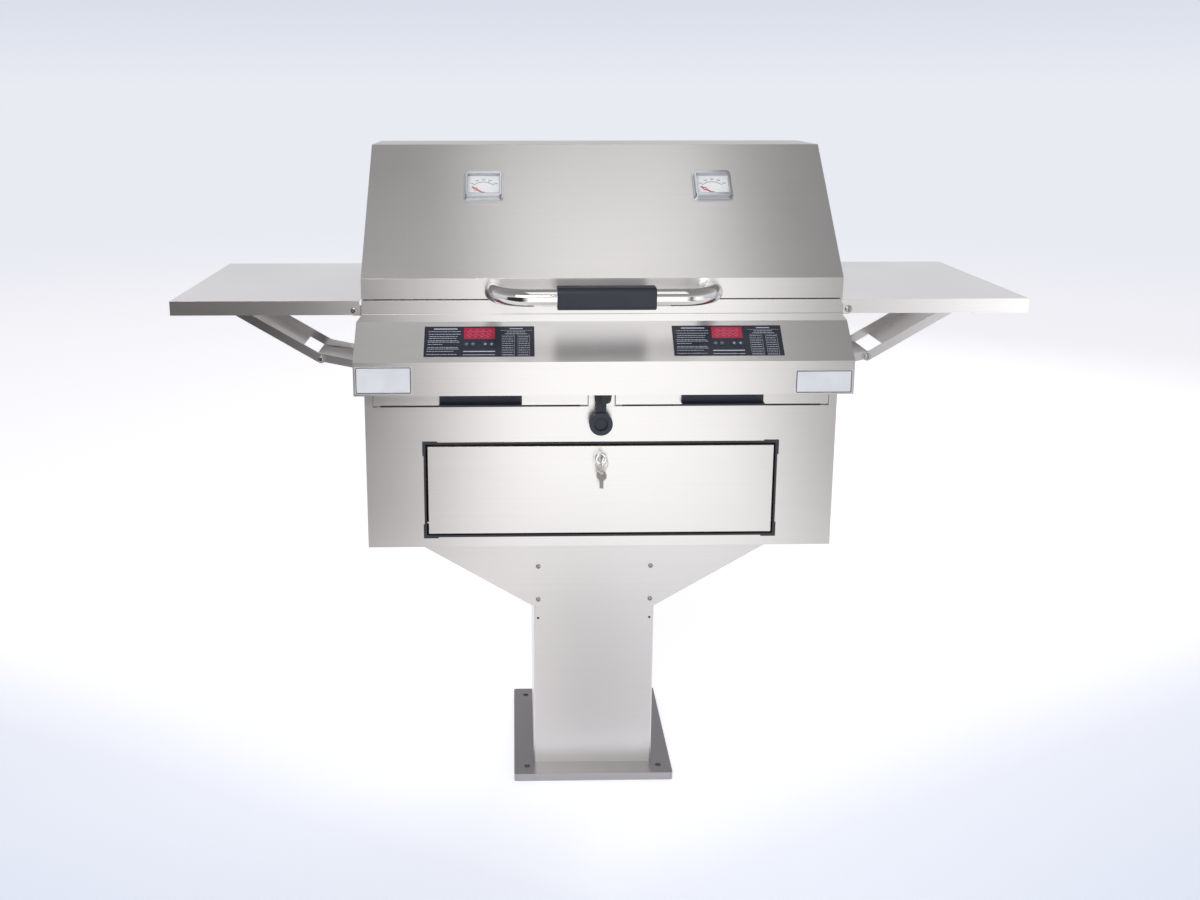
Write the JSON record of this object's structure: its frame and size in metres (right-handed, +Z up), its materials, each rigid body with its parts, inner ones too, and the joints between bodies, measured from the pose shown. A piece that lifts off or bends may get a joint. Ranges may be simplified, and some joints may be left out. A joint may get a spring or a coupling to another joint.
{
  "type": "park bbq grill pedestal",
  "caption": "Lidded stainless electric park grill with drop-down side shelves, on a lockable cabinet and a square column with a bolted base plate",
  "frame": {"origin": "on the floor, in the middle of the anchor bolt pattern", "axes": "+X to the right, the front faces -Y, +Z up"},
  "size_m": [1.46, 0.5605, 1.208],
  "materials": {
    "stainless": "brushed stainless, horizontal grain",
    "polished": "polished stainless tube",
    "galvanised": "plain steel, dull",
    "zinc": "bright plated steel",
    "black_pull": "satin black coat",
    "rubber": "matte dark rubber",
    "grip": "matte dark slate plastic",
    "dark_plastic": "matte black plastic",
    "overlay": "printed satin film",
    "display": "dark red gloss window",
    "board": "coated circuit board",
    "label": "bare plate, satin",
    "dial": "white printed dial",
    "lens": "clear glass",
    "needle": "red painted",
    "element": "dark oxidised sheath",
    "grate": "seasoned, dark",
    "brass_key": "plated key blank, worn"
  },
  "bodies": {
    "frame": {"base_plate": "stainless", "column": "stainless", "saddle_plates": "stainless", "saddle_cheeks": "stainless", "pan_screws": "zinc", "cable_gland": "dark_plastic", "cabinet_shell": "stainless", "cabinet_front": "stainless", "door_gasket": "rubber", "door_hinge_pins": "zinc", "tray_runners": "galvanised", "firebox": "stainless", "heating_element_left": "element", "heating_element_right": "element", "element_clips": "galvanised", "control_housing": "stainless", "overlays": "overlay", "displays": "display", "control_boards": "board", "label_plates": "label", "socket": "dark_plastic", "lid_hinge_pins": "zinc", "shelf_brackets": "galvanised", "shelf_bolts": "zinc"},
    "lid": {"lid_shell": "stainless", "lid_handle": "polished", "handle_grip": "grip", "handle_screws": "zinc", "gauge_bezels": "polished", "gauge_dials": "dial", "gauge_lenses": "lens"},
    "needle_left": {"needle_left": "needle"},
    "needle_right": {"needle_right": "needle"},
    "door": {"door": "stainless", "lock_body": "polished"},
    "lock": {"lock_plug": "zinc", "key": "brass_key"},
    "ring": {"key_ring": "polished"},
    "spare": {"spare_key": "brass_key"},
    "tray_left": {"grease_tray_left": "stainless", "tray_pull_left": "black_pull"},
    "tray_right": {"grease_tray_right": "stainless", "tray_pull_right": "black_pull"},
    "grate_left": {"cooking_grate_left": "grate"},
    "grate_right": {"cooking_grate_right": "grate"},
    "shelf_left": {"shelf_left": "stainless"},
    "shelf_right": {"shelf_right": "stainless"},
    "brace_long_left": {"brace_long_left": "stainless"},
    "brace_long_right": {"brace_long_right": "stainless"},
    "brace_short_left": {"brace_short_left": "galvanised"},
    "brace_short_right": {"brace_short_right": "galvanised"},
    "cap": {"socket_cap": "rubber"},
    "button_on_left": {"button_on_left": "dark_plastic"},
    "button_off_left": {"button_off_left": "dark_plastic"},
    "button_up_left": {"button_up_left": "dark_plastic"},
    "button_down_left": {"button_down_left": "dark_plastic"},
    "button_on_right": {"button_on_right": "dark_plastic"},
    "button_off_right": {"button_off_right": "dark_plastic"},
    "button_up_right": {"button_up_right": "dark_plastic"},
    "button_down_right": {"button_down_right": "dark_plastic"}
  },
  "joints": [
    {"name": "lid_hinge", "type": "hinge", "parent": "frame", "child": "lid", "pos_m": [0, 0.205, 0.975], "axis": [-1, 0, 0], "range_deg": [0, 75]},
    {"name": "shelf_left_fold", "type": "hinge", "parent": "frame", "child": "shelf_left", "pos_m": [-0.42, -0.026, 0.939], "axis": [0, -1, 0], "range_deg": [0, 75]},
    {"name": "shelf_right_fold", "type": "hinge", "parent": "frame", "child": "shelf_right", "pos_m": [0.42, -0.026, 0.939], "axis": [0, 1, 0], "range_deg": [0, 75]},
    {"name": "arm_left", "type": "hinge", "parent": "shelf_left", "child": "brace_long_left", "pos_m": [-0.712, -0.026, 0.945], "axis": [0, -1, 0], "range_deg": [0, 28.3]},
    {"name": "arm_right", "type": "hinge", "parent": "shelf_right", "child": "brace_long_right", "pos_m": [0.712, -0.026, 0.945], "axis": [0, 1, 0], "range_deg": [0, 28.3]},
    {"name": "foot_left", "type": "hinge", "parent": "frame", "child": "brace_short_left", "pos_m": [-0.418, -0.026, 0.802], "axis": [0, 1, 0], "range_deg": [0, 72.65]},
    {"name": "foot_right", "type": "hinge", "parent": "frame", "child": "brace_short_right", "pos_m": [0.418, -0.026, 0.802], "axis": [0, -1, 0], "range_deg": [0, 72.65]},
    {"name": "door_drop", "type": "hinge", "parent": "frame", "child": "door", "pos_m": [0, -0.227, 0.5586], "axis": [1, 0, 0], "range_deg": [0, 95]},
    {"name": "lock_turn", "type": "hinge", "parent": "door", "child": "lock", "pos_m": [0, -0.241, 0.678], "axis": [0, -1, 0], "range_deg": [0, 90]},
    {"name": "key_ring_swing", "type": "hinge", "parent": "lock", "child": "ring", "pos_m": [0, -0.255, 0.687], "axis": [1, 0, 0], "range_deg": [-20, 5]},
    {"name": "spare_key_swing", "type": "hinge", "parent": "ring", "child": "spare", "pos_m": [0, -0.255, 0.6597], "axis": [0.866, 0.5, 0], "range_deg": [-20, 5]},
    {"name": "tray_left_slide", "type": "slide", "parent": "frame", "child": "tray_left", "axis": [0, -1, 0], "range_m": [0, 0.3]},
    {"name": "tray_right_slide", "type": "slide", "parent": "frame", "child": "tray_right", "axis": [0, -1, 0], "range_m": [0, 0.3]},
    {"name": "grate_left_lift", "type": "slide", "parent": "frame", "child": "grate_left", "axis": [0, 0, 1], "range_m": [0, 0.05]},
    {"name": "grate_right_lift", "type": "slide", "parent": "frame", "child": "grate_right", "axis": [0, 0, 1], "range_m": [0, 0.05]},
    {"name": "needle_left_turn", "type": "hinge", "parent": "lid", "child": "needle_left", "pos_m": [-0.203, -0.11844, 1.12658], "axis": [0, 0.7341, -0.679], "range_deg": [0, 110]},
    {"name": "needle_right_turn", "type": "hinge", "parent": "lid", "child": "needle_right", "pos_m": [0.203, -0.11844, 1.12658], "axis": [0, 0.7341, -0.679], "range_deg": [0, 110]},
    {"name": "cap_swing", "type": "hinge", "parent": "frame", "child": "cap", "pos_m": [-0.002, -0.2495, 0.786], "axis": [-1, 0, 0], "range_deg": [-3, 60]},
    {"name": "button_on_left_press", "type": "slide", "parent": "frame", "child": "button_on_left", "axis": [0, 0.7109, -0.7033], "range_m": [0, 0.0012], "stiffness_N_per_m": 400},
    {"name": "button_off_left_press", "type": "slide", "parent": "frame", "child": "button_off_left", "axis": [0, 0.7109, -0.7033], "range_m": [0, 0.0012], "stiffness_N_per_m": 400},
    {"name": "button_up_left_press", "type": "slide", "parent": "frame", "child": "button_up_left", "axis": [0, 0.7109, -0.7033], "range_m": [0, 0.0012], "stiffness_N_per_m": 400},
    {"name": "button_down_left_press", "type": "slide", "parent": "frame", "child": "button_down_left", "axis": [0, 0.7109, -0.7033], "range_m": [0, 0.0012], "stiffness_N_per_m": 400},
    {"name": "button_on_right_press", "type": "slide", "parent": "frame", "child": "button_on_right", "axis": [0, 0.7109, -0.7033], "range_m": [0, 0.0012], "stiffness_N_per_m": 400},
    {"name": "button_off_right_press", "type": "slide", "parent": "frame", "child": "button_off_right", "axis": [0, 0.7109, -0.7033], "range_m": [0, 0.0012], "stiffness_N_per_m": 400},
    {"name": "button_up_right_press", "type": "slide", "parent": "frame", "child": "button_up_right", "axis": [0, 0.7109, -0.7033], "range_m": [0, 0.0012], "stiffness_N_per_m": 400},
    {"name": "button_down_right_press", "type": "slide", "parent": "frame", "child": "button_down_right", "axis": [0, 0.7109, -0.7033], "range_m": [0, 0.0012], "stiffness_N_per_m": 400}
  ],
  "couplings": [
    {"joint": "arm_left", "follows": "shelf_left_fold", "ratio": 0.3746},
    {"joint": "arm_right", "follows": "shelf_right_fold", "ratio": 0.3746},
    {"joint": "foot_left", "follows": "shelf_left_fold", "ratio": 0.9659},
    {"joint": "foot_right", "follows": "shelf_right_fold", "ratio": 0.9659}
  ]
}
